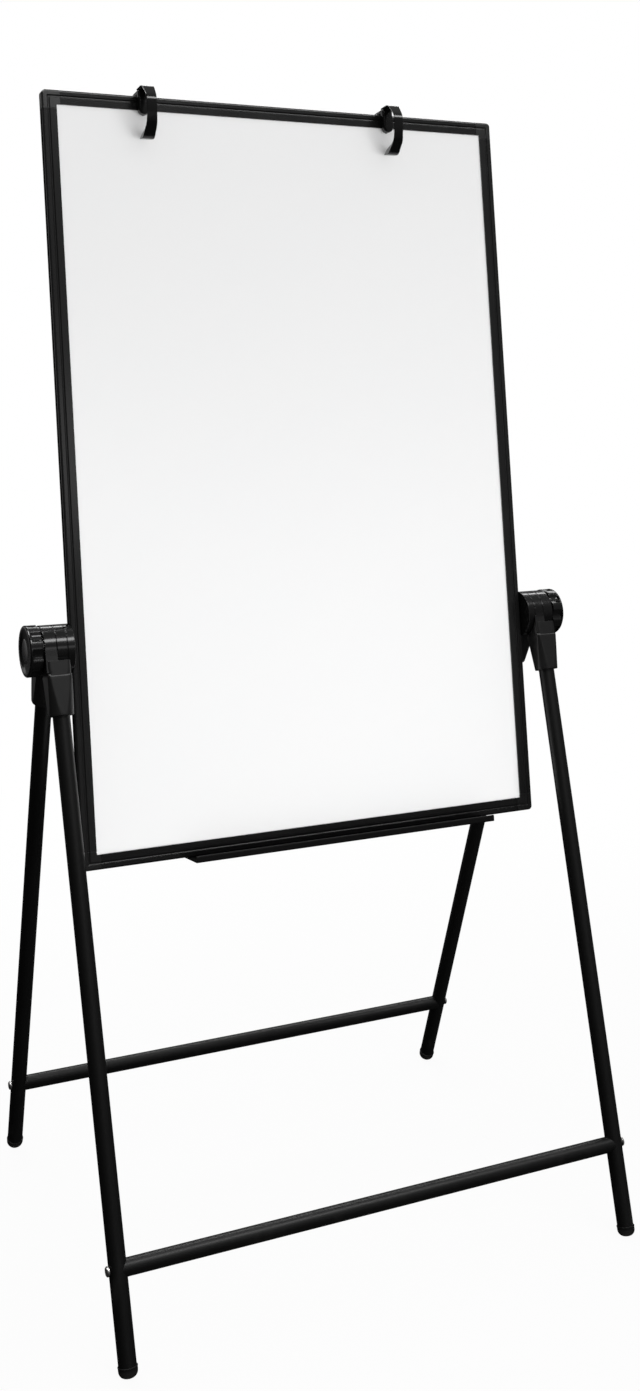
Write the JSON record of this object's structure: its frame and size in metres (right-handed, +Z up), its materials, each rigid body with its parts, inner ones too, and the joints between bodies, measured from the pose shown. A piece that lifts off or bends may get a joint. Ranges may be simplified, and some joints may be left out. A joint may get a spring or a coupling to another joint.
{
  "type": "whiteboard easel",
  "caption": "Folding A-frame floor easel that carries a tilting, height-adjustable magnetic whiteboard with a pen tray and sliding flip-chart hooks.",
  "frame": {"origin": "on the floor, midway between the four feet and straight under the hub axis", "axes": "+Z up, -Y towards the front of the board, +X to the right of someone who faces the board"},
  "size_m": [0.7164, 0.5288, 1.3956],
  "materials": {
    "leg_steel": "black powder coat, satin",
    "frame_aluminium": "black anodised extrusion, satin",
    "white_sheet": "glossy white dry-erase lacquer",
    "core_board": "raw fibreboard",
    "hub_plastic": "black moulded, semi-gloss",
    "knob_plastic": "black moulded, gloss",
    "socket_plastic": "dark grey moulded, satin",
    "corner_plastic": "black moulded, satin",
    "plug_plastic": "black moulded",
    "tray_plastic": "black moulded, semi-gloss",
    "hook_plastic": "black moulded, gloss",
    "foot_rubber": "black rubber, dull",
    "bright_steel": "zinc plated"
  },
  "bodies": {
    "front_frame": {"front_leg_left": "leg_steel", "front_leg_right": "leg_steel", "front_socket_left": "socket_plastic", "front_socket_right": "socket_plastic", "front_socket_screws": "bright_steel", "front_crossbar": "leg_steel", "front_crossbar_plugs": "plug_plastic", "front_crossbar_bolts": "bright_steel", "front_foot_left": "foot_rubber", "front_foot_right": "foot_rubber"},
    "rear_frame": {"rear_leg_left": "leg_steel", "rear_leg_right": "leg_steel", "rear_socket_left": "socket_plastic", "rear_socket_right": "socket_plastic", "rear_socket_screws": "bright_steel", "rear_crossbar": "leg_steel", "rear_crossbar_plugs": "plug_plastic", "rear_crossbar_bolts": "bright_steel", "rear_foot_left": "foot_rubber", "rear_foot_right": "foot_rubber"},
    "board_carrier": {"clamp_left": "hub_plastic", "clamp_right": "hub_plastic", "pivot_bolt_left": "bright_steel", "pivot_bolt_right": "bright_steel"},
    "knob_assembly_left": {"knob_left": "knob_plastic", "knob_nut_left": "bright_steel", "knob_cap_left": "knob_plastic", "knob_washer_left": "bright_steel"},
    "knob_assembly_right": {"knob_right": "knob_plastic", "knob_nut_right": "bright_steel", "knob_cap_right": "knob_plastic", "knob_washer_right": "bright_steel"},
    "board": {"panel_core": "core_board", "panel_front_sheet": "white_sheet", "panel_back_sheet": "white_sheet", "rail_top": "frame_aluminium", "rail_bottom": "frame_aluminium", "rail_left": "frame_aluminium", "rail_right": "frame_aluminium", "corner_top_left": "corner_plastic", "corner_top_right": "corner_plastic", "corner_bottom_left": "corner_plastic", "corner_bottom_right": "corner_plastic"},
    "flip_chart_hook_left": {"hook_left": "hook_plastic"},
    "flip_chart_hook_right": {"hook_right": "hook_plastic"},
    "tray": {"pen_tray": "tray_plastic", "tray_screws": "tray_plastic", "tray_nuts": "bright_steel"}
  },
  "joints": [
    {"name": "rear_fold", "type": "hinge", "parent": "front_frame", "child": "rear_frame", "pos_m": [0, 0, 0.73685], "axis": [1, 0, 0], "range_deg": [-36, 0]},
    {"name": "board_tilt", "type": "hinge", "parent": "front_frame", "child": "board_carrier", "pos_m": [0, 0, 0.73685], "axis": [1, 0, 0], "range_deg": [-81, 99]},
    {"name": "board_height", "type": "slide", "parent": "board_carrier", "child": "board", "axis": [0, 0.1564, 0.9877], "range_m": [-0.2, 0.19]},
    {"name": "knob_left_turn", "type": "hinge", "parent": "board_carrier", "child": "knob_assembly_left", "pos_m": [0, 0, 0.73685], "axis": [1, 0, 0], "range_deg": [0, 360]},
    {"name": "knob_right_turn", "type": "hinge", "parent": "board_carrier", "child": "knob_assembly_right", "pos_m": [0, 0, 0.73685], "axis": [1, 0, 0], "range_deg": [-360, 0]},
    {"name": "hook_left_slide", "type": "slide", "parent": "board", "child": "flip_chart_hook_left", "axis": [1, 0, 0], "range_m": [-0.092, 0.155]},
    {"name": "hook_right_slide", "type": "slide", "parent": "board", "child": "flip_chart_hook_right", "axis": [1, 0, 0], "range_m": [-0.12, 0.127]},
    {"name": "tray_slide", "type": "slide", "parent": "board", "child": "tray", "axis": [1, 0, 0], "range_m": [-0.107, 0.055]}
  ]
}
